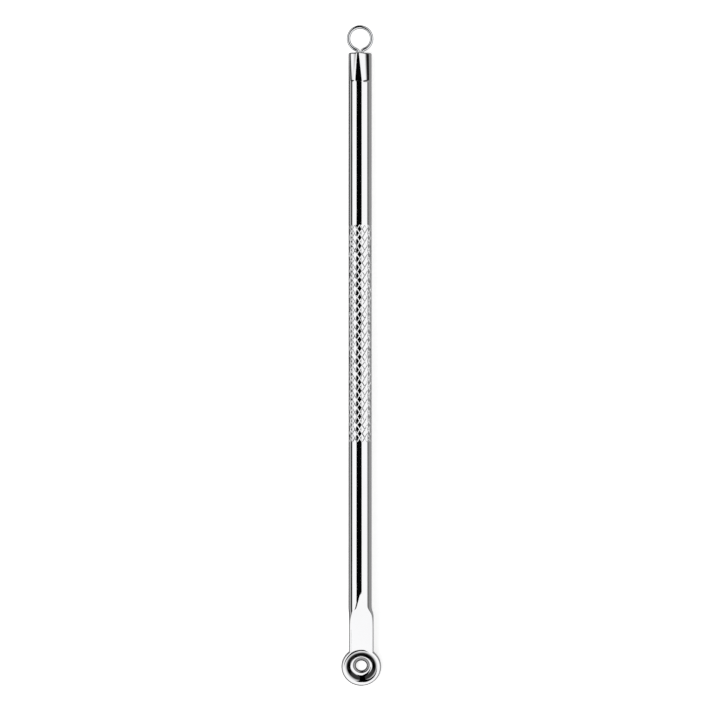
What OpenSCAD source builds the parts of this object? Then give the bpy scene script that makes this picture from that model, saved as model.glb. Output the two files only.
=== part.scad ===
// Blackhead extractor: a knurled steel bar with a pressed, dished cup at one end
// and a bent wire loop crimped into a socket at the other.
// It lies along X as it rests on a table: the loop points to +X and the dish opens to +Z.

/* [Bar] */
// Diameter of the round bar
bar_d = 4.2; // [3.8:0.1:4.6]
// Length from the tip of the pressed flat to the socket end
bar_len = 97.6; // [88:0.1:110]
// Plain length between the tip of the pressed flat and the knurl
lower_shank = 27.1; // [15:0.1:32]
// Radius on the rim of the socket end
end_round = 0.25; // [0.1:0.05:0.3]

/* [Knurl] */
// Grooves of each hand round the bar
knurl_starts = 14; // [10:1:16]
// Distance from diamond to diamond along the bar
knurl_pitch = 1.54; // [1.3:0.01:1.6]
// Rows of half diamonds along the bar
knurl_rows = 51; // [21:1:51]
// Width of a groove across its mouth
groove_w = 0.22; // [0.1:0.01:0.3]
// Depth of a groove
groove_depth = 0.12; // [0.05:0.01:0.2]

/* [Crimped socket] */
// Length of the crimp from the socket end
crimp_len = 5.3; // [4:0.1:7]
// Width of the two pressed lands, front and back
land_w = 1.5; // [1:0.1:2]
// Radius of the four jaws that press the flutes
flute_r = 2.6; // [2.2:0.1:3.2]
// Depth of a flute where it starts
flute_start_depth = 0.35; // [0.2:0.05:0.5]
// Depth of a flute at the socket end
flute_end_depth = 0.93; // [0.7:0.01:1]
// Turn of the crimp about the bar
crimp_turn = 5; // [0:1:10]
// Depth of the drilled socket
socket_depth = 6; // [5.2:0.1:8]

/* [Wire loop] */
// Diameter of the wire
wire_d = 0.65; // [0.5:0.05:0.7]
// Radius of the loop to the middle of the wire
loop_r = 2.1; // [1.8:0.1:3]
// Radius of the two bends at the neck, to the middle of the wire
neck_r = 0.7; // [0.5:0.1:1]
// Length of the two legs inside the socket
leg_len = 5; // [3:0.1:5]
// Clearance round each leg
leg_gap = 0.01; // [0.005:0.005:0.02]

/* [Blade] */
// Width of the blade
blade_w = 4.45; // [4:0.05:5]
// Thickness of the blade
blade_t = 1.05; // [0.9:0.05:1.05]
// Angle that the blade is bent down
blade_bend = 15; // [8:1:20]
// Sideways shift of the blade and cup from the bar's axis
blade_shift = 0.22; // [0:0.01:0.3]
// Radius on the blade's edges
blade_edge = 0.25; // [0.1:0.05:0.3]
// Slope of the flat where it leaves the bar
flat_slope = 4; // [3:1:6]
// Where the pressed step starts and ends, from the tip of the flat
press_span = [2.2, 5.4];
// Where the bend starts and ends, from the tip of the flat
bend_span = [3, 6];

/* [Cup] */
// Outer diameter of the cup
cup_d = 7.2; // [6.8:0.1:8]
// Distance of the cup's centre from the tip of the flat, along the bar
cup_reach = 13.75; // [12.5:0.05:16]
// Diameter of the hole in the cup
hole_d = 2; // [1.6:0.1:2.2]
// Height of the lip above the blade
lip_height = 0.12; // [0.05:0.01:0.2]
// Radius on the top of the lip
lip_r = 0.36; // [0.3:0.01:0.4]
// Depth of the groove inside the lip, below the blade
dish_depth = 0.55; // [0.45:0.05:0.6]
// Radius of that groove's lowest circle
dish_ring = 2.33; // [2.3:0.01:2.4]
// Depth of the raised ring round the hole, below the blade
bead_depth = 0.25; // [0.2:0.01:0.3]
// Radius of the raised ring's highest circle
bead_ring = 1.45; // [1.4:0.01:1.5]
// Radius of the domed underside
dome_r = 12.15; // [11.5:0.05:13]
// Depth of the dome's lowest point, below the blade
dome_depth = 1.45; // [1.4:0.05:1.6]
// Radius on the lower edge of the cup
edge_r = 0.4; // [0.3:0.05:0.5]

/* [Hidden] */

bar_r = bar_d / 2;
wire_r = wire_d / 2;
cup_r = cup_d / 2;
hole_r = hole_d / 2;
steel = [0.80, 0.81, 0.83];
wire_steel = [0.72, 0.73, 0.75];
// How far faceted forms stay inside the round ones, and reach into them
inset = 0.01;
bite = 0.05;
arc_steps = 8;

function arc(c, r, a0, a1, n = arc_steps) =
    [for (i = [0:n]) let(a = a0 + (a1 - a0) * i / n) c + r * [cos(a), sin(a)]];
function direction(from, to) = atan2(to[1] - from[1], to[0] - from[0]);
function clamp(v) = max(0, min(1, v));
function smooth(v) = let(t = clamp(v)) t * t * (3 - 2 * t);
function along(span, u) = (u - span[0]) / (span[1] - span[0]);

// The cup's section, in radius and height above the blade's top face.
// The lip, the groove, the raised ring and the edge are arcs that run into each other.
lip_c = [cup_r - lip_r, lip_height - lip_r];
dish_dx = lip_c[0] - dish_ring;
dish_dz = lip_c[1] + dish_depth;
dish_r = (dish_dx ^ 2 + dish_dz ^ 2 - lip_r ^ 2) / (2 * (lip_r + dish_dz));
dish_c = [dish_ring, dish_r - dish_depth];
bead_dx = dish_ring - bead_ring;
bead_dz = dish_c[1] + bead_depth;
bead_r = (bead_dx ^ 2 + bead_dz ^ 2 - dish_r ^ 2) / (2 * (dish_r - bead_dz));
bead_c = [bead_ring, -bead_depth - bead_r];
dome_c = [0, dome_r - dome_depth];
edge_c = [cup_r - edge_r, dome_c[1] - sqrt((dome_r - edge_r) ^ 2 - (cup_r - edge_r) ^ 2)];
lip_to_dish = direction(lip_c, dish_c);
bead_to_dish = direction(bead_c, dish_c);
dome_to_edge = direction(dome_c, edge_c);
dome_to_hole = -acos(hole_r / dome_r);
bead_to_hole = 180 - acos((bead_ring - hole_r) / bead_r);
cup_section = concat(
    arc(bead_c, bead_r, bead_to_hole, bead_to_dish),
    arc(dish_c, dish_r, bead_to_dish - 180, lip_to_dish - 180),
    arc(lip_c, lip_r, lip_to_dish, 0),
    arc(edge_c, edge_r, 0, dome_to_edge),
    arc(dome_c, dome_r, dome_to_edge, dome_to_hole)
);

// The blade's top face is a straight line in side view, from bend_x
bend_x = -(bend_span[0] + bend_span[1]) / 2;
blade_half = blade_t / 2 / cos(blade_bend);
cup_x = -cup_reach;
cup_z = blade_half + tan(blade_bend) * (cup_x - bend_x);

// The rest pose: the dome and the foot of the crimp both touch the table
foot_x = bar_len - crimp_len;
dome_x = cup_x - dome_c[1] * sin(blade_bend);
dome_z = cup_z + dome_c[1] * cos(blade_bend);
rest_a = foot_x - dome_x;
rest_b = bar_r + dome_z;
rest_tilt = asin(dome_r / norm([rest_a, rest_b])) - atan2(rest_b, rest_a);
rest_height = foot_x * sin(rest_tilt) + bar_r * cos(rest_tilt);

// The loop's centre, and the length of the whole tool from the cup's rim to the loop
neck_y = wire_r + leg_gap / 2 + neck_r;
neck_reach = sqrt((loop_r + neck_r) ^ 2 - neck_y ^ 2);
loop_x = bar_len + neck_reach;
neck_angle = atan2(neck_y, neck_reach);
leg_y = neck_y - neck_r;
high_x = (loop_x + loop_r) * cos(rest_tilt) + wire_r;
rim_x = cup_x - lip_c[0] * cos(blade_bend) - lip_c[1] * sin(blade_bend);
rim_z = cup_z - lip_c[0] * sin(blade_bend) + lip_c[1] * cos(blade_bend);
low_x = rim_x * cos(rest_tilt) + rim_z * sin(rest_tilt) - lip_r;
mid_x = (high_x + low_x) / 2;

// Moves a shape from the bar's own axis to its place at rest
module at_rest()
    translate([-mid_x, blade_shift, rest_height])
        rotate([0, rest_tilt, 0])
            children();

// Turns a shape that stands on Z so that it lies along the bar
module along_bar(x)
    translate([x, 0, 0])
        rotate([0, 90, 0])
            children();

// Diamond knurl. Rings of points lie half a pitch apart: each point is the middle of a
// diamond or the crossing of two grooves, by turns.
knurl_len = knurl_rows * knurl_pitch / 2;
knurl_r = bar_r - inset;
crossing_r = bar_r - groove_depth;
cell_step = 180 / knurl_starts;
cell_count = 2 * knurl_starts;
cell_half = PI * bar_r / knurl_starts;
cell_inner = cell_half * knurl_pitch / 2 / norm([cell_half, knurl_pitch / 2]);
land_scale = 1 - groove_w / 2 / cell_inner;
land_turn = cell_step * land_scale;
land_reach = knurl_pitch / 2 * land_scale;

function knurl_point(x, r, a) = [x, r * sin(a), r * cos(a)];
function is_diamond(i, j) = (i + j) % 2 == 0;
// Five slots for each place on the grid: middle or crossing, then left, right, fore and aft
function slot(i, j, k) = 5 * (cell_count * j + (i + cell_count) % cell_count) + k;
knurl_points = [
    for (j = [0:knurl_rows], i = [0:cell_count - 1])
        let(
            x = lower_shank + j * knurl_pitch / 2,
            a = i * cell_step,
            r = is_diamond(i, j) ? knurl_r : crossing_r,
            aft = max(x - land_reach, lower_shank),
            fore = min(x + land_reach, lower_shank + knurl_len)
        )
        each [
            knurl_point(x, r, a),
            knurl_point(x, r, a - land_turn),
            knurl_point(x, r, a + land_turn),
            knurl_point(fore, r, a),
            knurl_point(aft, r, a)
        ]
];
// One side of a diamond: half of its land, and its two slopes down to the grooves.
// At the knurl's ends the diamonds are cut in two across their middles.
function half_diamond(i, j, side) =
    let(
        at_start = j == 0,
        at_end = j == knurl_rows,
        s = slot(i, j, side < 0 ? 1 : 2),
        fore = slot(i, j, at_end ? 0 : 3),
        aft = slot(i, j, at_start ? 0 : 4),
        cs = slot(i + side, j, 0),
        cf = slot(i, j + 1, 0),
        ca = slot(i, j - 1, 0),
        faces = concat(
            [[aft, fore, s]],
            at_end ? [] : [[s, fore, cf], [s, cf, cs]],
            at_start ? [] : [[aft, s, ca], [ca, s, cs]]
        )
    )
    side < 0 ? faces : [for (f = faces) [f[2], f[1], f[0]]];
knurl_lands = [
    for (j = [0:knurl_rows], i = [0:cell_count - 1], side = [-1, 1])
        if (is_diamond(i, j))
            each half_diamond(i, j, side)
];
// The rim of the knurl at one end, point by point
function knurl_rim(j) = [
    for (i = [0:cell_count - 1])
        each is_diamond(i, j) ? [slot(i, j, 1), slot(i, j, 0), slot(i, j, 2)] : [slot(i, j, 0)]
];

module knurl() {
    // Each end runs a little way into the plain bar, and closes on a middle point
    rims = [knurl_rim(0), knurl_rim(knurl_rows)];
    shifts = [-bite, bite];
    grid = len(knurl_points);
    rim_len = len(rims[0]);
    tails = [for (e = [0, 1], p = rims[e]) knurl_points[p] + [shifts[e], 0, 0]];
    middles = [for (e = [0, 1]) [lower_shank + e * knurl_len + shifts[e], 0, 0]];
    middle = grid + len(tails);
    walls = [
        for (e = [0, 1], k = [0:rim_len - 1])
            let(
                n = (k + 1) % rim_len,
                a = rims[e][k],
                b = rims[e][n],
                c = grid + e * rim_len + k,
                d = grid + e * rim_len + n,
                faces = [[a, b, d], [a, d, c], [c, d, middle + e]]
            )
            each e == 0 ? [for (f = faces) [f[2], f[1], f[0]]] : faces
    ];
    polyhedron(points = concat(knurl_points, tails, middles), faces = concat(knurl_lands, walls));
}

// The blade: rings of points from the round bar to the flat blade, by distance from the flat's tip.
side_steps = 5;
ring_starts = concat([0.2], [for (u = [0.6:0.4:6.3]) u], [cup_reach - 1.5]);
function half_height(u) =
    let(round_part = bar_r - tan(flat_slope) * u)
    round_part + (blade_half - round_part) * smooth(along(press_span, u));
function half_width(u) = bar_r - inset + (blade_w / 2 - bar_r + inset) * smooth(along([2.6, 4.4], u));
function side_shift(u) = -blade_shift * smooth(along([2.6, 4.4], u));
function middle_z(u) =
    let(
        t = clamp(along(bend_span, u)),
        run = bend_span[1] - bend_span[0],
        curved = run * t * t / 2,
        straight = max(0, u - bend_span[1])
    )
    -tan(blade_bend) * (curved + straight);
// A quarter of a ring, from the side up to the top: a round side, a rounded edge and a flat top
function ring_quarter(u) =
    let(
        h = half_height(u),
        w = half_width(u),
        round_r = bar_r - inset,
        flat_w = w * sqrt(1 - (h / bar_r) ^ 2),
        edge = min(blade_edge, flat_w / 2) * smooth(along(press_span, u)) + bite,
        top_angle = asin((h - edge) / bar_r)
    )
    concat(
        [for (i = [0:side_steps]) let(a = top_angle * i / side_steps) [w * cos(a), round_r * sin(a)]],
        [[flat_w - edge * 0.3, h - edge * 0.3], [flat_w - edge, h]]
    );
function ring(u) =
    let(q = ring_quarter(u), n = len(q) - 1, h = half_height(u))
    [
        for (p = concat(
            q,
            [[0, h]],
            [for (i = [n:-1:1]) [-q[i][0], q[i][1]]],
            [for (p = q) [-p[0], -p[1]]],
            [[0, -h]],
            [for (i = [n:-1:1]) [q[i][0], -q[i][1]]]
        ))
            [-u, p[0] + side_shift(u), p[1] + middle_z(u)]
    ];

module blade() {
    rings = [for (u = ring_starts) ring(u)];
    size = len(rings[0]);
    last = len(rings) - 1;
    points = concat(
        [for (r = rings, p = r) p],
        [for (k = [0, last]) let(u = ring_starts[k]) [-u, side_shift(u), middle_z(u)]]
    );
    middle = size * (last + 1);
    skin = [
        for (k = [0:last - 1], i = [0:size - 1])
            let(
                n = (i + 1) % size,
                a = k * size + i,
                b = k * size + n,
                c = a + size,
                d = b + size
            )
            each [[a, b, d], [a, d, c]]
    ];
    caps = [
        for (i = [0:size - 1])
            let(n = (i + 1) % size)
            each [[n, i, middle], [last * size + i, last * size + n, middle + 1]]
    ];
    polyhedron(points = points, faces = concat(skin, caps));
}

// The cup, with its hole, and the end of the blade cut off inside the lip
module cup()
    translate([cup_x, -blade_shift, cup_z])
        rotate([0, -blade_bend, 0])
            children();

module dished_cup()
    rotate_extrude($fn = 96)
        polygon(cup_section);

module blade_trim()
    translate([0, 0, -3])
        cylinder(r = lip_c[0] - 0.14, h = 6, $fn = 96);

// One flute: a round jaw with a rounded nose that leans in toward the socket end
flute_slope = atan((flute_end_depth - flute_start_depth) / crimp_len);
nose_r = 1;
module flute()
    translate([bar_len - crimp_len, 0, bar_r - flute_start_depth + flute_r])
        rotate([0, 90 + flute_slope, 0])
            rotate_extrude($fn = 96)
                union() {
                    translate([0, nose_r - 0.35])
                        square([flute_r, crimp_len + 2]);
                    translate([0, -0.35])
                        square([flute_r - nose_r, crimp_len + 2]);
                    translate([flute_r - nose_r, nose_r - 0.35])
                        circle(r = nose_r);
                }

// One pressed land with a round end
land_depth = bar_r - sqrt(bar_r ^ 2 - (land_w / 2) ^ 2);
module land()
    translate([bar_len - crimp_len + land_w / 2, 0, bar_r - land_depth]) {
        translate([0, -land_w, 0])
            cube([crimp_len, 2 * land_w, 1]);
        cylinder(d = land_w, h = 1, $fn = 48);
    }

// The drilled socket, squeezed onto the two legs
module socket_hole()
    for (side = [-1, 1])
        along_bar(bar_len - socket_depth)
            translate([0, side * leg_y, 0])
                cylinder(r = wire_r + leg_gap, h = socket_depth + 1, $fn = 48);

module lower_bar()
    along_bar(-0.45)
        cylinder(r = bar_r, h = lower_shank + 0.45, $fn = 96);

module upper_bar()
    along_bar(lower_shank + knurl_len)
        rotate_extrude($fn = 96)
            polygon(concat(
                [[0, 0], [bar_r, 0]],
                arc(
                    [bar_r - end_round, bar_len - lower_shank - knurl_len - end_round],
                    end_round,
                    0,
                    90
                ),
                [[0, bar_len - lower_shank - knurl_len]]
            ));

module crimped_bar()
    difference() {
        upper_bar();
        rotate([-crimp_turn, 0, 0]) {
            for (turn = [45:90:315])
                rotate([turn, 0, 0])
                    flute();
            for (turn = [0, 180])
                rotate([turn, 0, 0])
                    land();
        }
        socket_hole();
    }

module knurled_bar()
    color(steel)
        at_rest()
            union() {
                crimped_bar();
                knurl();
                lower_bar();
                difference() {
                    blade();
                    cup()
                        blade_trim();
                }
                cup()
                    dished_cup();
            }

// The wire is one round section swept along its path: a leg, a bend at the neck, the loop,
// and back. Each stop on the path is [x, y, heading].
wire_sides = 16;
bend_steps = 8;
loop_steps = 44;
bend_turn = 90 - neck_angle;
loop_turn = 360 - 2 * neck_angle;
function path_arc(c, r, a0, a1, turn, n) =
    [for (i = [1:n]) let(a = a0 + (a1 - a0) * i / n) [each c + r * [cos(a), sin(a)], a + turn]];
wire_path = concat(
    [[-leg_len, leg_y, 0], [0, leg_y, 0]],
    path_arc([0, neck_y], neck_r, -90, -90 + bend_turn, 90, bend_steps),
    path_arc([neck_reach, 0], loop_r, 180 - neck_angle, 180 - neck_angle - loop_turn, -90, loop_steps),
    path_arc([0, -neck_y], neck_r, 90 - bend_turn, 90, 90, bend_steps),
    [[-leg_len, -leg_y, 180]]
);

module wire_loop()
    color(wire_steel)
        at_rest()
            translate([bar_len, 0, 0])
                sweep(wire_path, wire_r, wire_sides);

module sweep(path, r, sides) {
    last = len(path) - 1;
    points = concat(
        [
            for (p = path, i = [0:sides - 1])
                let(a = 360 * i / sides)
                [p[0] - r * cos(a) * sin(p[2]), p[1] + r * cos(a) * cos(p[2]), r * sin(a)]
        ],
        [for (k = [0, last]) [path[k][0], path[k][1], 0]]
    );
    middle = sides * (last + 1);
    skin = [
        for (k = [0:last - 1], i = [0:sides - 1])
            let(n = (i + 1) % sides, a = k * sides + i, b = k * sides + n)
            each [[b, a, b + sides], [b + sides, a, a + sides]]
    ];
    caps = [
        for (i = [0:sides - 1])
            let(n = (i + 1) % sides)
            each [[i, n, middle], [last * sides + n, last * sides + i, middle + 1]]
    ];
    polyhedron(points = points, faces = concat(skin, caps));
}

knurled_bar();
wire_loop();
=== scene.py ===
import math

import bmesh
import bpy
import numpy as np
from bpy.props import FloatProperty, FloatVectorProperty, IntProperty, PointerProperty
from mathutils import Matrix, Vector, noise


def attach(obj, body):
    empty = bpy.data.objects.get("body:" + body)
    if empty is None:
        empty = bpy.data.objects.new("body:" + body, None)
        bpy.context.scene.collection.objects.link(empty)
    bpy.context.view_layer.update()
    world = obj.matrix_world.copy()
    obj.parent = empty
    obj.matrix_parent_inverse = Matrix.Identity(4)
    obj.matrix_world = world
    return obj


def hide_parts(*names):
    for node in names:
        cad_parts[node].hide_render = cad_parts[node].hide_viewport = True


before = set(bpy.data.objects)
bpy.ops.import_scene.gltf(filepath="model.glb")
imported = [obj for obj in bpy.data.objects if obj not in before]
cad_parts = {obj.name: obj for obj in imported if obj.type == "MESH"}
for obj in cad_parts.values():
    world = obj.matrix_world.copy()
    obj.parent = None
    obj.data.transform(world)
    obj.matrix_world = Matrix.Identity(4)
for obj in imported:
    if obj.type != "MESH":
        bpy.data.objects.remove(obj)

bl_info = {
    "name": "Blackhead Extractor",
    "version": (1, 0, 0),
    "blender": (4, 5, 0),
    "location": "View3D > Sidebar > Extractor",
    "description": "A knurled steel skin tool with a dished cup and a crimped wire loop",
    "category": "Object",
}

# The bench works in millimetres, and a finished piece is laid on the table in metres.
MM = 1000.0
# Corners sharper than this stay sharp in the shading
CREASE = math.radians(25)
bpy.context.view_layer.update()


def length(name, text, default):
    """A size held in metres; default is in millimetres."""
    return FloatProperty(name=name, description=text, default=default / MM, unit="LENGTH", precision=5)


def turn(name, text, default):
    """An angle; default is in degrees."""
    return FloatProperty(name=name, description=text, default=math.radians(default), subtype="ANGLE")


def share(name, text, default):
    return FloatProperty(name=name, description=text, default=default, min=0.0, max=1.0, subtype="FACTOR")


def colour(name, text, default):
    return FloatVectorProperty(
        name=name, description=text, default=default, size=3, min=0.0, max=1.0, subtype="COLOR"
    )


class BarSizes(bpy.types.PropertyGroup):
    diameter: length("Diameter", "Diameter of the round bar", 4.2)
    total: length("Length", "From the tip of the pressed flat to the socket end", 97.6)
    lower_shank: length("Lower shank", "Plain length between the pressed flat and the knurl", 27.1)
    end_round: length("End round", "Radius on the rim of the socket end", 0.25)
    groove_starts: IntProperty(
        name="Grooves round", description="Grooves of each hand round the bar", default=14, min=6
    )
    pitch: length("Pitch", "Distance from diamond to diamond along the bar", 1.54)
    rows: IntProperty(name="Rows", description="Rows of half diamonds along the bar", default=51, min=5)
    groove_width: length("Groove width", "Width of a groove across its mouth", 0.16)
    groove_depth: length("Groove depth", "Depth of a groove below the bar's surface", 0.045)
    crimp: length("Crimp", "Length of the crimp from the socket end", 5.3)
    land: length("Land", "Width of the two pressed lands", 1.5)
    crimp_turn: turn("Crimp turn", "Turn of the lands about the bar", 6)
    jaw_radius: length("Jaw radius", "Radius of the four jaws that press the flutes", 18)
    left_jaw: turn("Left jaw", "Direction of the left jaw from straight up", 39.5)
    right_jaw: turn("Right jaw", "Direction of the right jaw from straight up", 37)
    left_start: length("Left start", "Depth of the left flute where it starts", 0.05)
    left_end: length("Left end", "Depth of the left flute at the socket end", 0.27)
    right_start: length("Right start", "Depth of the right flute where it starts", 0.20)
    right_end: length("Right end", "Depth of the right flute at the socket end", 0.52)
    socket: length("Socket", "Depth of the drilled socket", 6.0)


class BladeSizes(bpy.types.PropertyGroup):
    width: length("Width", "Width of the blade", 4.45)
    thickness: length("Thickness", "Thickness of the blade", 1.05)
    bend: turn("Bend", "Angle that the blade is bent down", 15)
    shift: length("Shift", "Sideways shift of the blade from the bar's axis", 0.22)
    slope: turn("Slope", "Slope of the flat one millimetre from its tip", 3.43)
    twist: turn("Twist", "Turn of the flat about the bar at its tip", 6)
    edge: length("Edge", "Radius on the edges of the blade", 0.5)
    flat_edge: length("Flat edge", "Radius between the flat and the bar's sides, at the flat's tip", 1.3)


class CupSizes(bpy.types.PropertyGroup):
    diameter: length("Diameter", "Outer diameter of the cup", 7.2)
    reach: length("Reach", "From the tip of the flat to the cup's centre", 13.75)
    hole: length("Hole", "Diameter of the hole", 2.0)
    lip_height: length("Lip height", "Height of the lip above the blade", 0.12)
    lip_round: length("Lip round", "Radius on the top of the lip", 0.6)
    inner_round: length("Inner round", "Radius from the top of the lip down into the dish", 0.75)
    wall_slope: turn("Wall slope", "Slope of the dish's wall", 45)
    floor_round: length("Floor round", "Radius where the wall runs into the dish's floor", 0.7)
    floor_ring: length("Floor ring", "Radius of the floor's lowest circle", 1.52)
    hole_round: length("Hole round", "Radius on the upper edge of the hole", 0.34)
    dome_radius: length("Dome radius", "Radius of the domed underside", 12.15)
    dome_depth: length("Dome depth", "Depth of the dome's lowest point", 1.45)
    edge_round: length("Edge round", "Radius on the lower edge of the cup", 0.4)


class WireSizes(bpy.types.PropertyGroup):
    diameter: length("Diameter", "Diameter of the wire", 0.65)
    loop_radius: length("Loop radius", "Radius of the loop to the middle of the wire", 2.1)
    neck_radius: length("Neck radius", "Radius of the two bends at the neck", 0.7)
    leg: length("Leg", "Length of the two legs inside the socket", 5.0)
    gap: length("Gap", "Clearance round each leg", 0.01)


class SteelLook(bpy.types.PropertyGroup):
    bar_colour: colour("Bar colour", "Colour of the polished steel", (0.86, 0.86, 0.87))
    wire_colour: colour("Wire colour", "Colour of the drawn wire", (0.80, 0.81, 0.83))
    polish: share("Polish", "Roughness of the polished bar", 0.04)
    drawn: share("Drawn finish", "Roughness of the drawn wire", 0.02)
    scratches: share("Scratches", "How much the fine scratches show", 0.25)


class StudioLook(bpy.types.PropertyGroup):
    view_width: length("View width", "Width of table that the picture shows", 130.28)
    camera_height: length("Camera height", "Height of the camera over the table", 800)
    tent: FloatProperty(
        name="Tent", description="Brightness of the white tent in the metal", default=1.12, min=0.0
    )
    table_colour: colour("Table colour", "Colour of the table", (0.82, 0.82, 0.82))


def deselect():
    if bpy.context.object and bpy.context.object.mode != "OBJECT":
        bpy.ops.object.mode_set(mode="OBJECT")
    bpy.ops.object.select_all(action="DESELECT")


def take(piece):
    """Makes piece the one object in hand."""
    deselect()
    piece.select_set(True)
    bpy.context.view_layer.objects.active = piece


def in_hand(name):
    """Names the object that an operator has just added."""
    piece = bpy.context.object
    piece.name = piece.data.name = name
    return piece


def edit(piece):
    take(piece)
    bpy.ops.object.mode_set(mode="EDIT")
    bpy.ops.mesh.select_mode(type="VERT")


def done():
    bpy.ops.object.mode_set(mode="OBJECT")


def pick(piece, test):
    """Selects, in edit mode, the corners whose place passes the test."""
    bpy.ops.mesh.select_all(action="DESELECT")
    mesh = bmesh.from_edit_mesh(piece.data)
    for vert in mesh.verts:
        if test(vert.co):
            vert.select = True
    mesh.select_flush(True)
    bmesh.update_edit_mesh(piece.data)


def extrude(step):
    bpy.ops.mesh.extrude_region_move(TRANSFORM_OT_translate={"value": step})


def tidy_skin(near):
    """Merges doubled corners and turns every face outward."""
    bpy.ops.mesh.select_all(action="SELECT")
    bpy.ops.mesh.remove_doubles(threshold=near)
    bpy.ops.mesh.normals_make_consistent(inside=False)


def places(piece):
    co = np.empty(len(piece.data.vertices) * 3)
    piece.data.vertices.foreach_get("co", co)
    return co.reshape(-1, 3)


def put(piece, co):
    piece.data.vertices.foreach_set("co", np.asarray(co, float).ravel())
    piece.data.update()


def cut(target, tool, operation):
    """Joins or cuts target with tool, and uses the tool up."""
    take(target)
    step = target.modifiers.new(operation.lower(), "BOOLEAN")
    step.operation = operation
    step.solver = "EXACT"
    step.object = tool
    bpy.ops.object.modifier_apply(modifier=step.name)
    spent = tool.data
    bpy.data.objects.remove(tool)
    bpy.data.meshes.remove(spent)


def arc(centre, radius, start, end, steps, unit=math.radians):
    """Points on an arc; its angles are in degrees, or in radians when unit is float."""
    angles = [unit(start + (end - start) * i / steps) for i in range(steps + 1)]
    return [(centre[0] + radius * math.cos(a), centre[1] + radius * math.sin(a)) for a in angles]


def smooth(value):
    value = np.clip(value, 0.0, 1.0)
    return value * value * (3.0 - 2.0 * value)


def lathe(name, section, steps):
    """Draws a closed section of (radius, height) corner by corner, and spins it about Z."""
    bpy.ops.mesh.primitive_plane_add(size=1, location=(0, 0, 0))
    piece = in_hand(name)
    edit(piece)
    bpy.ops.mesh.merge(type="CENTER")
    bpy.ops.transform.translate(value=(section[0][0], 0, section[0][1]))
    for here, there in zip(section, section[1:]):
        extrude((there[0] - here[0], 0, there[1] - here[1]))
    ends = [Vector((p[0], 0, p[1])) for p in (section[0], section[-1])]
    pick(piece, lambda co: min((co - end).length for end in ends) < 1e-4)
    bpy.ops.mesh.edge_face_add()
    bpy.ops.mesh.select_all(action="SELECT")
    bpy.ops.mesh.spin(steps=steps, angle=math.tau, center=(0, 0, 0), axis=(0, 0, 1))
    tidy_skin(1e-4)
    done()
    return piece


def drawn(name, stations, sides, shape):
    """Draws a ring of corners out along X from station to station, and shapes each ring.

    shape(x, angle) gets the rings' stations and the corners' angles, and gives their places."""
    bpy.ops.mesh.primitive_circle_add(
        vertices=sides, radius=1, location=(stations[0], 0, 0), rotation=(0, math.pi / 2, 0)
    )
    piece = in_hand(name)
    bpy.ops.object.transform_apply(location=True, rotation=True, scale=True)
    edit(piece)
    bpy.ops.mesh.select_all(action="SELECT")
    for here, there in zip(stations, stations[1:]):
        extrude((there - here, 0, 0))
    for end in (stations[0], stations[-1]):
        pick(piece, lambda co: abs(co.x - end) < 2e-3)
        bpy.ops.mesh.edge_face_add()
    tidy_skin(1e-5)
    done()
    co = places(piece)
    put(piece, shape(co[:, 0], np.arctan2(co[:, 2], co[:, 1])))
    return piece


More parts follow.
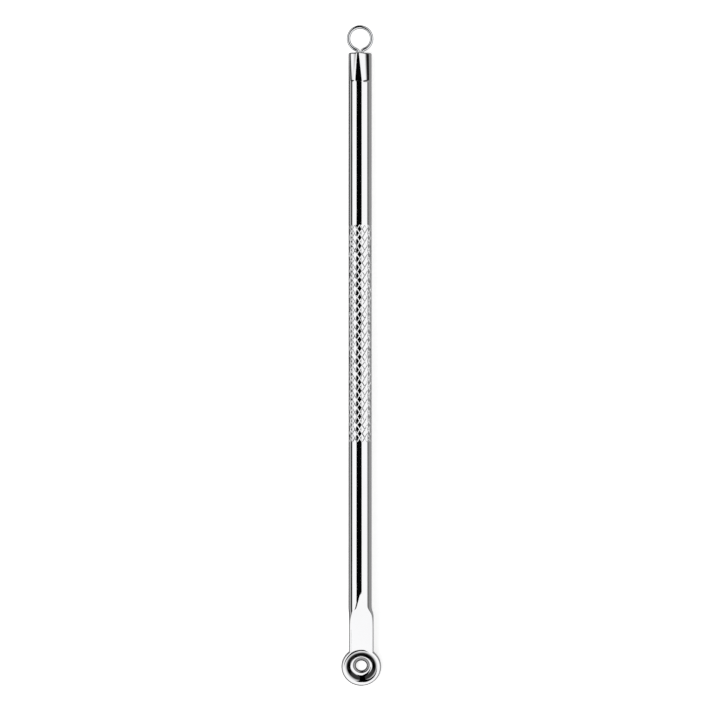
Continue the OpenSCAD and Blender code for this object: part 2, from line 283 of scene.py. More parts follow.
class Lines:
    """Sizes in millimetres that follow from the set ones, in the tool's own frame.

    The bar lies along X, from the tip of the pressed flat toward the loop."""

    def __init__(self, scene):
        bar, blade, cup, wire = scene.tool_bar, scene.tool_blade, scene.tool_cup, scene.tool_wire
        self.bar_r = bar.diameter * MM / 2
        self.bar_len = bar.total * MM
        self.lower = bar.lower_shank * MM
        self.pitch = bar.pitch * MM
        self.knurl_end = self.lower + bar.rows * self.pitch / 2
        self.crimp = bar.crimp * MM
        self.wire_r = wire.diameter * MM / 2
        self.bend = blade.bend
        self.shift = blade.shift * MM
        self.blade_half = blade.thickness * MM / 2 / math.cos(blade.bend)
        self.slope = blade.slope
        # Where the pressing and the bending start and end, from the tip of the flat
        self.press_start, self.press_end = 2.6, 7.0
        self.bend_start, self.bend_end = 3.0, 6.0
        self.cup_x = -cup.reach * MM
        bend_x = -(self.bend_start + self.bend_end) / 2
        self.cup_z = self.blade_half + math.tan(blade.bend) * (self.cup_x - bend_x)
        self.cup_r = cup.diameter * MM / 2
        self.lip_r = cup.lip_round * MM
        self.lip_c = (self.cup_r - self.lip_r, cup.lip_height * MM - self.lip_r)
        self.dome_r = cup.dome_radius * MM
        dome_c = self.dome_r - cup.dome_depth * MM
        # At rest the dome and the foot of the crimp touch the table
        foot = self.bar_len - self.crimp
        run = foot - (self.cup_x - dome_c * math.sin(self.bend))
        rise = self.bar_r + self.cup_z + dome_c * math.cos(self.bend)
        self.tilt = math.asin(self.dome_r / math.hypot(run, rise)) - math.atan2(rise, run)
        self.height = foot * math.sin(self.tilt) + self.bar_r * math.cos(self.tilt)
        # The neck of the wire, and the middle of the whole length
        self.loop_r = wire.loop_radius * MM
        self.neck_r = wire.neck_radius * MM
        self.neck_y = self.wire_r + wire.gap * MM / 2 + self.neck_r
        self.neck_reach = math.sqrt((self.loop_r + self.neck_r) ** 2 - self.neck_y**2)
        self.leg_y = self.neck_y - self.neck_r
        high = (self.bar_len + self.neck_reach + self.loop_r) * math.cos(self.tilt) + self.wire_r
        rim_x = self.cup_x - self.lip_c[0] * math.cos(self.bend) - self.lip_c[1] * math.sin(self.bend)
        rim_z = self.cup_z - self.lip_c[0] * math.sin(self.bend) + self.lip_c[1] * math.cos(self.bend)
        low = rim_x * math.cos(self.tilt) + rim_z * math.sin(self.tilt) - self.lip_r
        self.middle = (high + low) / 2

    def at_rest(self):
        """From the tool's own frame, in millimetres, to its place on the table, in metres."""
        return (
            Matrix.Scale(1 / MM, 4)
            @ Matrix.Translation((-self.middle, self.shift, self.height))
            @ Matrix.Rotation(self.tilt, 4, "Y")
        )

    def at_cup(self):
        """From the cup's own frame, with the hole on Z and the blade's top at zero, to the tool's."""
        place = Matrix.Translation((self.cup_x, -self.shift, self.cup_z))
        return place @ Matrix.Rotation(-self.bend, 4, "Y")


def lay_down(piece, lines, node, look):
    """Gives a finished piece its shading and material, and puts it at rest on the table."""
    take(piece)
    bpy.ops.object.shade_smooth_by_angle(angle=CREASE)
    piece.matrix_world = lines.at_rest()
    bpy.ops.object.transform_apply(location=True, rotation=True, scale=True)
    piece.data.materials.clear()
    piece.data.materials.append(look)
    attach(piece, "root")
    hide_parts(node)


def skin_noise(along, angle, per_mm, reach, offset=0.0):
    """Soft noise on the bar's skin; it changes faster with a higher per_mm along it, or reach round it."""
    return np.array(
        [
            noise.noise(Vector((x * per_mm + offset, reach * math.cos(a), reach * math.sin(a))))
            for x, a in zip(along, angle)
        ]
    )


def knurl(lines, bar):
    """One diamond, copied along and round, trimmed, grooved and wrapped round the bar."""
    starts = bar.groove_starts
    half_x = lines.pitch / 2
    half_y = math.pi * lines.bar_r / starts
    across = half_x * half_y / math.hypot(half_x, half_y)
    mouth = 1 - bar.groove_width * MM / 2 / across
    # Grid lines of a diamond: its flat top, the mouth of a groove, its wall and its bottom
    flat_share = 0.93
    land = mouth * flat_share
    wall = (1 + mouth) / 2
    grid_lines = [-1, -wall, -mouth, -land, land, mouth, wall, 1]
    cells = len(grid_lines) - 1
    bpy.ops.mesh.primitive_grid_add(x_subdivisions=cells, y_subdivisions=cells, size=2, location=(0, 0, 0))
    piece = in_hand("knurl")
    co = places(piece)
    s = np.interp(co[:, 0], np.linspace(-1, 1, cells + 1), grid_lines)
    t = np.interp(co[:, 1], np.linspace(-1, 1, cells + 1), grid_lines)
    put(piece, np.stack([half_x * (s + t) / 2 + lines.lower, half_y * (s - t) / 2, 0 * s], 1))
    rows = bar.rows // 2 + 2
    for count, step in ((rows, (lines.pitch, 0, 0)), (starts, (0, 2 * half_y, 0))):
        take(piece)
        repeat = piece.modifiers.new("repeat", "ARRAY")
        repeat.count = count
        repeat.use_relative_offset = False
        repeat.use_constant_offset = True
        repeat.constant_offset_displace = step
        bpy.ops.object.modifier_apply(modifier=repeat.name)
    bpy.ops.object.duplicate()
    between = bpy.context.object
    bpy.ops.transform.translate(value=(-half_x, half_y, 0))
    piece.select_set(True)
    bpy.context.view_layer.objects.active = piece
    between.select_set(True)
    bpy.ops.object.join()
    edit(piece)
    bpy.ops.mesh.select_all(action="SELECT")
    bpy.ops.mesh.remove_doubles(threshold=1e-3)
    for x, outer in ((lines.lower, False), (lines.knurl_end, True)):
        bpy.ops.mesh.select_all(action="SELECT")
        bpy.ops.mesh.bisect(
            plane_co=(x, 0, 0), plane_no=(1, 0, 0), clear_inner=not outer, clear_outer=outer, threshold=1e-4
        )
    done()
    # Wrap the sheet round the bar and press the grooves in
    co = places(piece)
    along, arc_len = co[:, 0], co[:, 1]
    angle = arc_len / lines.bar_r
    u = (along - lines.lower) / half_x
    v = arc_len / half_y
    # Both are 0 at the middle of a diamond and 1 on the middle line of a groove of their own hand
    left = np.abs(((u + v + 1) % 2) - 1)
    right = np.abs(((u - v + 1) % 2) - 1)
    # 1 at the middle of a diamond and 0 on the middle line of the nearest groove
    nearest = np.minimum(1 - left, 1 - right)
    groove = np.clip(1 - (1 - np.maximum(left, right)) / (1 - mouth), 0, 1)
    # Uneven rolling: in the depth of the grooves, the height of the skin and the course of the grooves
    rough = skin_noise(along, angle, per_mm=0.9, reach=2.3)
    fine = skin_noise(along, angle, per_mm=3.1, reach=6, offset=9)
    depth_rough, depth_fine, skin_fine = 0.45, 0.3, 0.003
    turn_rough, turn_fine, shift_fine = 0.024, 0.01, 0.05
    crown_height, skin_drop, run_out, phase = 0.004, 0.004, 0.16, 0.04
    depth = bar.groove_depth * MM
    crown = crown_height * (1 - nearest) ** 2
    ends = smooth(np.minimum(along - lines.lower, lines.knurl_end - along) / run_out)
    pressed = groove * depth * (1 + depth_rough * rough + depth_fine * fine)
    drop = ends * (pressed + crown + skin_fine * fine) + skin_drop
    radius = lines.bar_r - drop
    angle = angle + turn_rough * rough + turn_fine * fine + phase
    along = along + ends * shift_fine * fine
    put(piece, np.stack([along, radius * np.sin(angle), radius * np.cos(angle)], 1))
    edit(piece)
    bpy.ops.mesh.select_all(action="SELECT")
    bpy.ops.mesh.remove_doubles(threshold=2e-3)
    # Each end is drawn in a little, inside the plain bar, and closed
    overlap, draw_in = 0.06, 0.97
    for x, step in ((lines.lower, -overlap), (lines.knurl_end, overlap)):
        pick(piece, lambda co: abs(co.x - x) < 1e-3)
        extrude((step, 0, 0))
        bpy.ops.transform.resize(value=(1, draw_in, draw_in), center_override=(x + step, 0, 0))
        extrude((0, 0, 0))
        bpy.ops.mesh.merge(type="CENTER")
    bpy.ops.mesh.select_all(action="SELECT")
    bpy.ops.mesh.normals_make_consistent(inside=False)
    done()
    return piece


def crimped_end(lines, bar, wire):
    """The plain bar above the knurl, with its rim rounded and the jaws' flutes and lands pressed in."""
    foot = lines.bar_len - lines.crimp
    round_r = bar.end_round * MM
    jaw_r = bar.jaw_radius * MM
    # Direction from +Y toward +Z, depth at the start and at the end, roundness of the flute's corners,
    # and the jaw's radius, which is below zero where the jaw leaves a bulge instead of a hollow
    up = math.pi / 2
    crisp, soft = 0.2, 0.6
    left = (up - bar.left_jaw, bar.left_start * MM, bar.left_end * MM, crisp, jaw_r)
    right = (up + bar.right_jaw, bar.right_start * MM, bar.right_end * MM, soft, -jaw_r)
    jaws = [(jaw[0] + turned, *jaw[1:]) for turned in (0, math.pi) for jaw in (left, right)]
    land_half = bar.land * MM / 2
    land_level = math.sqrt(lines.bar_r**2 - land_half**2)
    # The jaws' rounded noses, how far they press ahead of the crimp, and the lands' rounded corners
    nose, ahead = 0.4, 0.1
    land_corner, land_fade = 0.45, 0.1
    untouched = 9
    plain = list(np.arange(lines.knurl_end, foot - 1.0, 1.5))
    fine = list(np.linspace(foot - 0.6, lines.bar_len - round_r, 96))
    rim = [lines.bar_len - round_r + round_r * math.sin(math.radians(a)) for a in range(15, 91, 15)]

    def blend_low(a, b, reach):
        """The smaller of two levels, with a rounded meeting."""
        h = np.clip(0.5 + 0.5 * (b - a) / reach, 0, 1)
        return b + (a - b) * h - reach * h * (1 - h)

    def shape(x, angle):
        level = np.full(len(x), lines.bar_r)
        into = np.clip(x, foot - 1, lines.bar_len) - foot
        rise = nose - np.sqrt(np.clip(nose**2 - np.clip(nose - ahead - into, 0, nose) ** 2, 0, None))
        pressed = into > -ahead
        for direction, start, end, roundness, hollow in jaws:
            depth = start + (end - start) * into / lines.crimp
            corner = roundness * (0.5 + 0.5 * np.clip(into / lines.crimp, 0, 1))
            off = angle - direction
            centre = lines.bar_r - depth + hollow
            radius = abs(hollow - rise)
            inside = radius**2 - (centre * np.sin(off)) ** 2
            reach = centre * np.cos(off) - math.copysign(1, hollow) * np.sqrt(np.clip(inside, 0, None))
            hit = pressed & (inside > 0) & (np.cos(off) > 0)
            level = np.where(hit, blend_low(level, np.where(hit, reach, untouched), corner), level)
        for k in range(2):
            off = angle - (up + k * math.pi) + bar.crimp_turn
            side = np.abs(level * np.sin(off))
            # The land starts square across, with rounded corners
            before = np.clip(land_corner - into, 0, None)
            beside = np.clip(side - land_half + land_corner, 0, None)
            edge = smooth((land_corner - np.hypot(before, beside)) / land_fade)
            flat = land_level / np.maximum(np.cos(off), 1e-3)
            hit = pressed & (np.cos(off) > 0.5)
            pressed_level = level + (np.minimum(flat, level) - level) * edge
            level = np.where(hit, pressed_level, level)
        past = np.clip(x - (lines.bar_len - round_r), 0, round_r)
        level = level - (round_r - np.sqrt(np.clip(round_r**2 - past**2, 0, None)))
        return np.stack([x, level * np.cos(angle), level * np.sin(angle)], 1)

    piece = drawn("crimped_end", plain + fine + rim, 224, shape)
    reach = bar.socket * MM
    past_end = 1
    for side in (-1, 1):
        bpy.ops.mesh.primitive_cylinder_add(
            vertices=40,
            radius=lines.wire_r + wire.gap * MM,
            depth=reach + past_end,
            location=(lines.bar_len - reach + (reach + past_end) / 2, side * lines.leg_y, 0),
            rotation=(0, math.pi / 2, 0),
        )
        drill = in_hand("drill")
        bpy.ops.object.transform_apply(location=True, rotation=True, scale=True)
        cut(piece, drill, "DIFFERENCE")
    return piece


def quarter(lines, u, edge, flat_edge):
    """A quarter of the blade's section, u along from the tip of the flat: side, rounded edge, top."""
    r = lines.bar_r
    side_steps, edge_steps, top_steps = 22, 8, 8
    up = math.pi / 2
    if u <= 0:
        # The bar is still round here, and its corners stand where those of the flat will start
        low, high = math.radians(87.8), math.radians(88.7)
        corner = arc((0, 0), r, low, high, edge_steps, float)[1:]
        top = arc((0, 0), r, high, up, top_steps, float)[1:]
    else:
        level = r - math.tan(lines.slope) * u**2 / 2
        pressed = (u - lines.press_start) / (lines.press_end - lines.press_start)
        level += (lines.blade_half - level) * float(smooth(pressed))
        # The edge is softest at the tip of the flat, and always smaller than the level allows
        soft_length, edge_share = 5, 0.93
        soft = float(np.clip(1 - u / soft_length, 0, 1))
        edge = min(edge + (flat_edge - edge) * soft, level * edge_share)
        low = math.asin((level - edge) / (r - edge))
        centre = ((r - edge) * math.cos(low), level - edge)
        corner = arc(centre, edge, low, up, edge_steps, float)[1:]
        top = [(centre[0] * (1 - i / top_steps), level) for i in range(1, top_steps + 1)]
    return arc((0, 0), r, 0, low, side_steps, float) + corner + top


def pressed_end(lines, blade):
    """The plain bar below the knurl, pressed flat and bent into the blade."""
    edge, flat_edge = blade.edge * MM, blade.flat_edge * MM
    width = blade.width * MM / 2 / lines.bar_r
    twist_start, twist_length = 2.5, 3.5
    spread_start, spread_length = 2.6, 1.8
    bend_length = lines.bend_end - lines.bend_start
    # The blade stops inside the cup
    last = -lines.cup_x - 1.5
    stations = [-lines.lower, -24, -20, -15, -10, -6, -3, -1.5, -0.6, -0.2, -0.05, 0.0]
    stations += [0.02, 0.06, 0.12, 0.2, 0.3, 0.42]
    stations += [*np.arange(0.55, 7.0, 0.09), *np.linspace(7.2, last, 12)]
    sides = 4 * (len(quarter(lines, 0, edge, flat_edge)) - 1)

    def ring(u):
        q = quarter(lines, u, edge, flat_edge)
        half = q + [(-y, z) for y, z in q[-2::-1]]
        whole = half + [(y, -z) for y, z in half[-2:0:-1]]
        twist = blade.twist * (1 - float(smooth((u - twist_start) / twist_length)))
        cos, sin = math.cos(twist), math.sin(twist)
        whole = [(y * cos - z * sin, y * sin + z * cos) for y, z in whole]
        spread = float(smooth((u - spread_start) / spread_length))
        bent = min(max((u - lines.bend_start) / bend_length, 0), 1)
        drop = math.tan(lines.bend) * (bend_length / 2 * bent * bent + max(0, u - lines.bend_end))
        return [(-u, y * (1 + (width - 1) * spread) - lines.shift * spread, z - drop) for y, z in whole]

    rings = np.array([ring(u) for u in stations])

    def shape(x, angle):
        which = np.abs(-x[:, None] - np.array(stations)[None, :]).argmin(1)
        index = np.rint(angle / math.tau * sides).astype(int) % sides
        return rings[which, index]

    return drawn("pressed_end", [-u for u in stations], sides, shape)


def cup_section(lines, cup):
    """The cup's section: arcs that run into each other, from the hole over the lip to the dome."""
    hole_r = cup.hole * MM / 2
    lip_c, lip_r = lines.lip_c, lines.lip_r
    top = lip_c[1] + lip_r
    slope = math.degrees(cup.wall_slope)
    run, rise = math.sin(cup.wall_slope), 1 - math.cos(cup.wall_slope)
    inner_r, floor_r, ring = cup.inner_round * MM, cup.floor_round * MM, cup.floor_ring * MM
    wall_run = lip_c[0] - ring - (inner_r + floor_r) * run
    depth = (inner_r + floor_r) * rise + wall_run * math.tan(cup.wall_slope) - top
    inner_c = (lip_c[0], top - inner_r)
    floor_c = (ring, floor_r - depth)
    # The floor rises a little to the rounded edge of the hole
    hole_round = cup.hole_round * MM
    bead = hole_r + hole_round
    between = floor_r + hole_round
    bead_c = (bead, floor_c[1] - math.sqrt(between**2 - (ring - bead) ** 2))
    edge_r = cup.edge_round * MM
    dome_c = (0, lines.dome_r - cup.dome_depth * MM)
    edge_x = lines.cup_r - edge_r
    edge_c = (edge_x, dome_c[1] - math.sqrt((lines.dome_r - edge_r) ** 2 - edge_x**2))

    def direction(a, b):
        return math.degrees(math.atan2(b[1] - a[1], b[0] - a[0]))

    bead_to_floor = direction(bead_c, floor_c)
    dome_to_edge = direction(dome_c, edge_c)
    parts = [
        arc(bead_c, hole_round, 180, bead_to_floor, 12),
        arc(floor_c, floor_r, bead_to_floor - 180, slope - 90, 14),
        arc(inner_c, inner_r, 90 + slope, 90, 14),
        arc(lip_c, lip_r, 90, 0, 10),
        arc(edge_c, edge_r, 0, dome_to_edge, 8),
        arc(dome_c, lines.dome_r, dome_to_edge, -math.degrees(math.acos(hole_r / lines.dome_r)), 12),
    ]
    section = []
    for point in sum(parts, []):
        if not section or math.dist(point, section[-1]) > 1e-4:
            section.append(point)
    return section


def group(name, inputs, outputs):
    """A node group with the named sockets; returns it with its input and output nodes."""
    tree = bpy.data.node_groups.new(name, "ShaderNodeTree")
    for label, kind, default in inputs:
        socket = tree.interface.new_socket(label, in_out="INPUT", socket_type=kind)
        if default is not None:
            socket.default_value = default
    for label, kind in outputs:
        tree.interface.new_socket(label, in_out="OUTPUT", socket_type=kind)
    return tree, tree.nodes.new("NodeGroupInput"), tree.nodes.new("NodeGroupOutput")


def node(tree, kind, *feeds, **settings):
    """Adds a node; settings name its properties, or its inputs by label.

    feeds go to its inputs in order, each a socket to link or a value."""
    made = tree.nodes.new(kind)
    for key, value in settings.items():
        if hasattr(made, key):
            setattr(made, key, value)
        else:
            made.inputs[key].default_value = value
    for entry, feed in zip(made.inputs, feeds):
        if isinstance(feed, bpy.types.NodeSocket):
            tree.links.new(feed, entry)
        else:
            entry.default_value = feed
    return made


def spread_out(tree, value, low, high):
    """Spreads the values from low to high over 0 to 1."""
    return node(tree, "ShaderNodeMapRange", value, low, high)


def greys(tree, value, stops):
    """A colour ramp of greys; each stop is a place from 0 to 1 and a tone."""
    tones = node(tree, "ShaderNodeValToRGB", value)
    elements = tones.color_ramp.elements
    while len(elements) < len(stops):
        elements.new(0.5)
    for element, (at, tone) in zip(elements, stops):
        element.position = at
        element.color = (tone, tone, tone, 1)
    return tones


def fine_scratches():
    """Hairline polishing marks that run along the bar, with a few across it."""
    tree, given, out = group(
        "fine_scratches",
        [
            ("Vector", "NodeSocketVector", None),
            ("Amount", "NodeSocketFloat", 0.2),
            ("Scale", "NodeSocketFloat", 1.0),
        ],
        [("Height", "NodeSocketFloat"), ("Mask", "NodeSocketFloat")],
    )
    link = tree.links.new
    sized = node(tree, "ShaderNodeVectorMath", given.outputs["Vector"], operation="SCALE")
    link(given.outputs["Scale"], sized.inputs["Scale"])
    # Of each set of marks: its turn, how fast it changes along and across, and its offset
    sets = (0.05, (40, 4000, 4000), 0.0), (1.2, (90, 5200, 5200), 3.7)
    marks = []
    for turned, stretch, offset in sets:
        mapping = node(
            tree, "ShaderNodeMapping", sized.outputs[0], (offset, offset, 0), (0, 0, turned), stretch
        )
        grain = node(tree, "ShaderNodeTexNoise", mapping.outputs[0], Scale=1.0, Detail=3.0, Roughness=0.6)
        # Only the peaks of the grain are marks
        marks.append(spread_out(tree, grain.outputs["Fac"], 0.62, 0.78).outputs[0])
    total = node(tree, "ShaderNodeMath", *marks, operation="MAXIMUM")
    by = node(tree, "ShaderNodeMath", total.outputs[0], given.outputs["Amount"], operation="MULTIPLY")
    link(by.outputs[0], out.inputs["Mask"])
    link(total.outputs[0], out.inputs["Height"])
    return tree


def handling():
    """Broad, soft changes of sheen where fingers and cloth have been."""
    tree, given, out = group(
        "handling_marks",
        [
            ("Vector", "NodeSocketVector", None),
            ("Low", "NodeSocketFloat", 0.03),
            ("High", "NodeSocketFloat", 0.07),
        ],
        [("Roughness", "NodeSocketFloat"), ("Tone", "NodeSocketFloat")],
    )
    link = tree.links.new
    clouds = node(
        tree, "ShaderNodeTexNoise", given.outputs["Vector"], Scale=140.0, Detail=4.0, Roughness=0.55
    )
    sheen = spread_out(tree, clouds.outputs["Fac"], 0.35, 0.7)
    link(given.outputs["Low"], sheen.inputs["To Min"])
    link(given.outputs["High"], sheen.inputs["To Max"])
    link(sheen.outputs[0], out.inputs["Roughness"])
    link(clouds.outputs["Fac"], out.inputs["Tone"])
    return tree


def painted_dish_reflection():
    """Painted reflection in the dish, darkening by distance from the hole's axis: a dark edge and grey ring
    by the hole, a dark groove, full tone at the lip.
    """
    tree, given, out = group(
        "painted_dish_reflection",
        [(label, "NodeSocketVector", None) for label in ("Vector", "Centre", "Axis")],
        [("Tone", "NodeSocketFloat")],
    )
    away = node(
        tree, "ShaderNodeVectorMath", given.outputs["Vector"], given.outputs["Centre"], operation="SUBTRACT"
    )
    side = node(
        tree, "ShaderNodeVectorMath", away.outputs[0], given.outputs["Axis"], operation="CROSS_PRODUCT"
    )
    radius = node(tree, "ShaderNodeVectorMath", side.outputs[0], operation="LENGTH")
    # The rings waver by up to 0.06 mm, and the ramp spans 4 mm
    waver, span = 0.00006, 4
    uneven = node(tree, "ShaderNodeTexNoise", given.outputs["Vector"], Scale=420.0, Detail=2.0)
    wobble = node(
        tree,
        "ShaderNodeMath",
        uneven.outputs["Fac"],
        2 * waver,
        radius.outputs["Value"],
        operation="MULTIPLY_ADD",
    )
    part = spread_out(tree, wobble.outputs[0], waver, waver + span / MM)
    # Distance in millimetres, and painted reflection tone
    rings = [
        (1.00, 0.04), (1.10, 0.12), (1.20, 0.38), (1.38, 0.30), (1.47, 0.06), (1.56, 1.0), (1.90, 1.0),
        (2.04, 0.04), (2.60, 0.03), (2.70, 0.45), (2.85, 0.75), (3.0, 1.0),
    ]
    tones = greys(tree, part.outputs[0], [(at / span, tone) for at, tone in rings])
    tree.links.new(tones.outputs["Color"], out.inputs["Tone"])
    return tree


def shared(tree, make, name):
    """A node that holds a group; the group is made once and shared."""
    held = node(tree, "ShaderNodeGroup")
    held.node_tree = bpy.data.node_groups.get(name) or make()
    return held


def steel(name, tint, rough, scratch_amount, scratch_scale, dish=None):
    """Bright stainless steel: scratches and handling marks change its roughness, tone and surface.

    dish gives the centre and the axis of the dish's painted reflection rings, where the piece has a dish."""
    look = bpy.data.materials.new(name)
    look.use_nodes = True
    tree = look.node_tree
    link = tree.links.new
    shader = tree.nodes["Principled BSDF"]
    shader.inputs["Metallic"].default_value = 1.0
    place = node(tree, "ShaderNodeTexCoord")
    scratches = shared(tree, fine_scratches, "fine_scratches")
    scratches.inputs["Amount"].default_value = scratch_amount
    scratches.inputs["Scale"].default_value = scratch_scale
    # Wiped places are smoother than the finish, and handled ones rougher
    wiped, handled = 0.6, 1.3
    sheen = shared(tree, handling, "handling_marks")
    sheen.inputs["Low"].default_value = rough * wiped
    sheen.inputs["High"].default_value = rough * handled
    for part in (scratches, sheen):
        link(place.outputs["Object"], part.inputs["Vector"])
    scratch_roughness = 0.18
    add = node(
        tree,
        "ShaderNodeMath",
        scratches.outputs["Mask"],
        scratch_roughness,
        sheen.outputs["Roughness"],
        operation="MULTIPLY_ADD",
    )
    link(add.outputs[0], shader.inputs["Roughness"])
    handled_shade = 0.96
    tone = node(tree, "ShaderNodeMix", sheen.outputs["Tone"], data_type="RGBA")
    tone.inputs["A"].default_value = (*[c * handled_shade for c in tint], 1)
    tone.inputs["B"].default_value = (*tint, 1)
    colour_out = tone.outputs["Result"]
    # Painted reflection: the dish's dark rings darken the steel's colour
    if dish:
        rings = shared(tree, painted_dish_reflection, "painted_dish_reflection")
        for label, value in zip(("Centre", "Axis"), dish):
            rings.inputs[label].default_value = value
        link(place.outputs["Object"], rings.inputs["Vector"])
        with_painted_rings = node(tree, "ShaderNodeMix", 1.0, data_type="RGBA", blend_type="MULTIPLY")
        link(colour_out, with_painted_rings.inputs["A"])
        link(rings.outputs["Tone"], with_painted_rings.inputs["B"])
        colour_out = with_painted_rings.outputs["Result"]
    link(colour_out, shader.inputs["Base Color"])
    bump = node(tree, "ShaderNodeBump", Strength=0.05, Distance=0.00001)
    link(scratches.outputs["Height"], bump.inputs["Height"])
    link(bump.outputs[0], shader.inputs["Normal"])
    return look


class TOOL_OT_bar(bpy.types.Operator):
    """Make the bar: crimped socket, knurled grip, pressed blade and dished cup in one piece of steel"""

    bl_idname = "extractor.bar"
    bl_label = "Polished Bar"

    def execute(self, context):
        scene = context.scene
        lines = Lines(scene)
        bar = crimped_end(lines, scene.tool_bar, scene.tool_wire)
        blade = pressed_end(lines, scene.tool_blade)
        # The blade is cut off inside the lip, so that nothing of it stands in the dish
        inside_lip = 0.14
        bpy.ops.mesh.primitive_cylinder_add(vertices=144, radius=lines.lip_c[0] - inside_lip, depth=6)
        trim = in_hand("trim")
        trim.matrix_world = lines.at_cup()
        bpy.ops.object.transform_apply(location=True, rotation=True, scale=True)
        cut(blade, trim, "DIFFERENCE")
        cup = lathe("dished_cup", cup_section(lines, scene.tool_cup), 144)
        cup.matrix_world = lines.at_cup()
        take(cup)
        bpy.ops.object.transform_apply(location=True, rotation=True, scale=True)
        cut(blade, cup, "UNION")
        grip = knurl(lines, scene.tool_bar)
        cut(grip, bar, "UNION")
        cut(grip, blade, "UNION")
        grip.name = grip.data.name = "polished_bar"
        look = scene.tool_steel
        placed = lines.at_rest() @ lines.at_cup()
        # The painted dark reflection ring in the dish sits a little toward the bar
        painted_ring_shift = 0.2
        centre = placed @ Vector((painted_ring_shift, 0, 0))
        axis = (placed.to_3x3() @ Vector((0, 0, 1))).normalized()
        finish = steel("polished_steel", look.bar_colour, look.polish, look.scratches, 1.0, (centre, axis))
        lay_down(grip, lines, "knurled_bar", finish)
        return {"FINISHED"}


class TOOL_OT_wire(bpy.types.Operator):
    """Make the wire: two legs, a narrow neck and a round loop, bent from one length"""

    bl_idname = "extractor.wire"
    bl_label = "Wire Loop"

    def execute(self, context):
        scene = context.scene
        lines = Lines(scene)
        wire = scene.tool_wire
        leg = wire.leg * MM
        bpy.ops.mesh.primitive_circle_add(
            vertices=32,
            radius=lines.wire_r,
            location=(lines.bar_len - leg, lines.leg_y, 0),
            rotation=(0, math.pi / 2, 0),
        )
        piece = in_hand("bent_wire")
        bpy.ops.object.transform_apply(location=True, rotation=True, scale=True)
        edit(piece)
        bpy.ops.mesh.select_all(action="SELECT")
        extrude((leg, 0, 0))
        neck_angle = math.atan2(lines.neck_y, lines.neck_reach)
        bend = math.pi / 2 - neck_angle
        loop = math.tau - 2 * neck_angle
        # Counter-clockwise round the upper neck, clockwise round the loop, and back
        for centre, angle, steps in (
            ((lines.bar_len, lines.neck_y, 0), bend, 16),
            ((lines.bar_len + lines.neck_reach, 0, 0), -loop, 96),
            ((lines.bar_len, -lines.neck_y, 0), bend, 16),
        ):
            bpy.ops.mesh.spin(steps=steps, angle=-angle, center=centre, axis=(0, 0, 1))
        extrude((-leg, 0, 0))
        for side in (-1, 1):
            pick(piece, lambda co: co.x < lines.bar_len - leg + 1e-3 and co.y * side > 0)
            bpy.ops.mesh.edge_face_add()
        tidy_skin(1e-4)
        done()
        look = scene.tool_steel
        # Drawn wire has fewer and finer scratches than the bar
        fewer, finer = 0.6, 1.4
        finish = steel("spring_wire", look.wire_colour, look.drawn, look.scratches * fewer, finer)
        lay_down(piece, lines, "wire_loop", finish)
        return {"FINISHED"}


def table_look(studio):
    """Pale table: white to the camera, with painted light and shade in the metal by place, darker near the
    tool, and it keeps the shadow.
    """
    look = bpy.data.materials.new("pale_table")
    look.use_nodes = True
    tree = look.node_tree
    tree.nodes.clear()
    rays = node(tree, "ShaderNodeLightPath")
    diffuse = node(tree, "ShaderNodeBsdfDiffuse", Color=(*studio.table_colour, 1))
    table_glow = 0.62
    level = node(tree, "ShaderNodeMath", in_view(tree, rays), table_glow, operation="MULTIPLY")
    glow = node(tree, "ShaderNodeEmission", (1, 1, 1, 1), level.outputs[0])
    lit = node(tree, "ShaderNodeAddShader", diffuse.outputs[0], glow.outputs[0])
    # Painted reflection: what the metal sees, from right to left, is painted by place: a lit side, the
    # tool's own shade, a lit strip and dusk
    place = node(tree, "ShaderNodeTexCoord")
    split = node(tree, "ShaderNodeSeparateXYZ", place.outputs["Object"])
    half_span = 0.02
    across = spread_out(tree, split.outputs["Y"], -half_span, half_span)
    painted_strips = [
        (0.0, 0.30), (0.42, 0.34), (0.5, 0.15), (0.51, 0.09), (0.68, 0.09),
        (0.69, 0.5), (0.92, 0.5), (0.94, 0.01), (1.0, 0.01),
    ]
    tones = greys(tree, across.outputs[0], painted_strips)
    painted_reflection_glow = node(tree, "ShaderNodeEmission", tones.outputs["Color"], 1.0)
    pick_ray = node(
        tree, "ShaderNodeMixShader", rays.outputs["Is Glossy Ray"], lit.outputs[0], painted_reflection_glow.outputs[0]
    )
    node(tree, "ShaderNodeOutputMaterial", pick_ray.outputs[0])
    return look


def in_view(tree, rays):
    """1 for what the camera sees, straight on or through something, and else 0."""
    straight, through = rays.outputs["Is Camera Ray"], rays.outputs["Is Transmission Ray"]
    return node(tree, "ShaderNodeMath", straight, through, operation="MAXIMUM").outputs[0]


def tent(scene, studio):
    """The white tent over the table, darker low down, above all behind the loop."""
    world = bpy.data.worlds.new("white_tent")
    scene.world = world
    world.use_nodes = True
    tree = world.node_tree
    tree.nodes.clear()
    place = node(tree, "ShaderNodeTexCoord")
    lean_back, lean_aside = math.radians(14), math.radians(3)
    upward = Vector((-math.tan(lean_back), math.tan(lean_aside), 1)).normalized()
    lean = node(
        tree, "ShaderNodeVectorMath", place.outputs["Generated"], upward, operation="DOT_PRODUCT"
    )
    low = spread_out(tree, lean.outputs["Value"], 0.10, 0.21)
    low.interpolation_type = "SMOOTHSTEP"
    low.inputs["To Min"].default_value = 0.01
    low.inputs["To Max"].default_value = studio.tent
    rays = node(tree, "ShaderNodeLightPath")
    soft_light, backdrop = 0.55, 1.0
    strength = node(tree, "ShaderNodeMix", rays.outputs["Is Glossy Ray"], data_type="FLOAT")
    strength.inputs["A"].default_value = soft_light
    tree.links.new(low.outputs[0], strength.inputs["B"])
    white = node(tree, "ShaderNodeMix", in_view(tree, rays), data_type="FLOAT")
    tree.links.new(strength.outputs["Result"], white.inputs["A"])
    white.inputs["B"].default_value = backdrop
    back = node(tree, "ShaderNodeBackground", (1, 1, 1, 1), white.outputs["Result"])
    node(tree, "ShaderNodeOutputWorld", back.outputs[0])


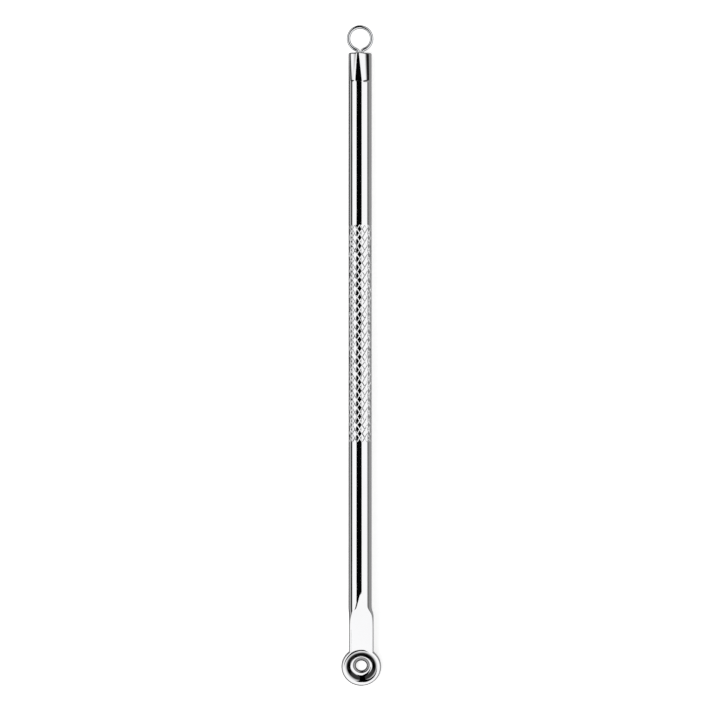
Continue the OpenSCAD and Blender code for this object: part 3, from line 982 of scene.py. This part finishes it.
class TOOL_OT_stage(bpy.types.Operator):
    """Set the stage: pale table, white tent, dark card over the tool, lamp and camera"""

    bl_idname = "extractor.stage"
    bl_label = "Studio"

    def execute(self, context):
        scene = context.scene
        studio = scene.tool_studio
        bpy.ops.mesh.primitive_plane_add(size=6, location=(0, 0, 0))
        table = in_hand("table")
        table.data.materials.append(table_look(studio))
        tent(scene, studio)
        # The dark card over the tool makes the long dark line in the polished bar; its near edge runs askew
        bpy.ops.mesh.primitive_grid_add(x_subdivisions=1, y_subdivisions=3, size=2, location=(0, 0, 0.3))
        card = in_hand("dark_card")
        bpy.ops.object.transform_apply(location=True, rotation=True, scale=True)
        near_edge = np.array(((-0.055, -0.085), (-0.055, 0.016), (-0.2, 0.05), (-0.27, 0.222)))
        far_edge = 1.2
        co = places(card)
        row = np.rint((co[:, 1] + 1) * 1.5).astype(int)
        co[:, 0] = np.where(co[:, 0] > 0, far_edge, near_edge[row, 0])
        co[:, 1] = near_edge[row, 1]
        put(card, co)
        black = bpy.data.materials.new("dark_card")
        black.use_nodes = True
        shader = black.node_tree.nodes["Principled BSDF"]
        shader.inputs["Base Color"].default_value = (0.002, 0.002, 0.002, 1)
        shader.inputs["Roughness"].default_value = 1.0
        shader.inputs["Specular IOR Level"].default_value = 0.0
        card.data.materials.append(black)
        card.visible_camera = card.visible_shadow = card.visible_diffuse = False
        bpy.ops.object.light_add(type="AREA", location=(-0.1, 0.5, 0.7))
        lamp = bpy.context.object
        lamp.name = lamp.data.name = "soft_lamp"
        lamp.data.shape = "RECTANGLE"
        lamp.data.size = 1.0
        lamp.data.size_y = 0.5
        lamp.data.energy = 3.0
        lamp.rotation_euler = (Vector((0, 0, 0)) - lamp.location).to_track_quat("-Z", "Y").to_euler()
        lamp.visible_glossy = False
        # The camera looks straight down, a little beside the tool's middle, at the height of the bar
        height, aside, bar_height, sensor = studio.camera_height, (-0.00068, 0.00033), 0.002, 36
        bpy.ops.object.camera_add(location=(*aside, height), rotation=(0, 0, -math.pi / 2))
        camera = bpy.context.object
        camera.name = camera.data.name = "camera"
        camera.data.sensor_width = sensor
        camera.data.lens = sensor * (height - bar_height) / studio.view_width
        camera.data.clip_start = 0.01
        scene.camera = camera
        scene.view_settings.view_transform = "Standard"
        return {"FINISHED"}


class TOOL_PT_panel(bpy.types.Panel):
    """The tool's pieces and the stage"""

    bl_idname = "TOOL_PT_panel"
    bl_label = "Blackhead Extractor"
    bl_space_type = "VIEW_3D"
    bl_region_type = "UI"
    bl_category = "Extractor"

    def draw(self, context):
        scene = context.scene
        layout = self.layout
        for operator, groups in (
            ("extractor.bar", ("tool_bar", "tool_blade", "tool_cup")),
            ("extractor.wire", ("tool_wire",)),
            ("extractor.stage", ("tool_steel", "tool_studio")),
        ):
            box = layout.box()
            box.operator(operator)
            for held in groups:
                settings = getattr(scene, held)
                for key in settings.__annotations__:
                    box.prop(settings, key)


SETTINGS = {
    "tool_bar": BarSizes,
    "tool_blade": BladeSizes,
    "tool_cup": CupSizes,
    "tool_wire": WireSizes,
    "tool_steel": SteelLook,
    "tool_studio": StudioLook,
}
CLASSES = (*SETTINGS.values(), TOOL_OT_bar, TOOL_OT_wire, TOOL_OT_stage, TOOL_PT_panel)


def register():
    for cls in CLASSES:
        bpy.utils.register_class(cls)
    for held, kind in SETTINGS.items():
        setattr(bpy.types.Scene, held, PointerProperty(type=kind))


def unregister():
    for held in SETTINGS:
        delattr(bpy.types.Scene, held)
    for cls in reversed(CLASSES):
        bpy.utils.unregister_class(cls)


def main():
    register()
    deselect()
    bpy.ops.extractor.bar()
    bpy.ops.extractor.wire()
    bpy.ops.extractor.stage()


if __name__ == "__main__":
    main()
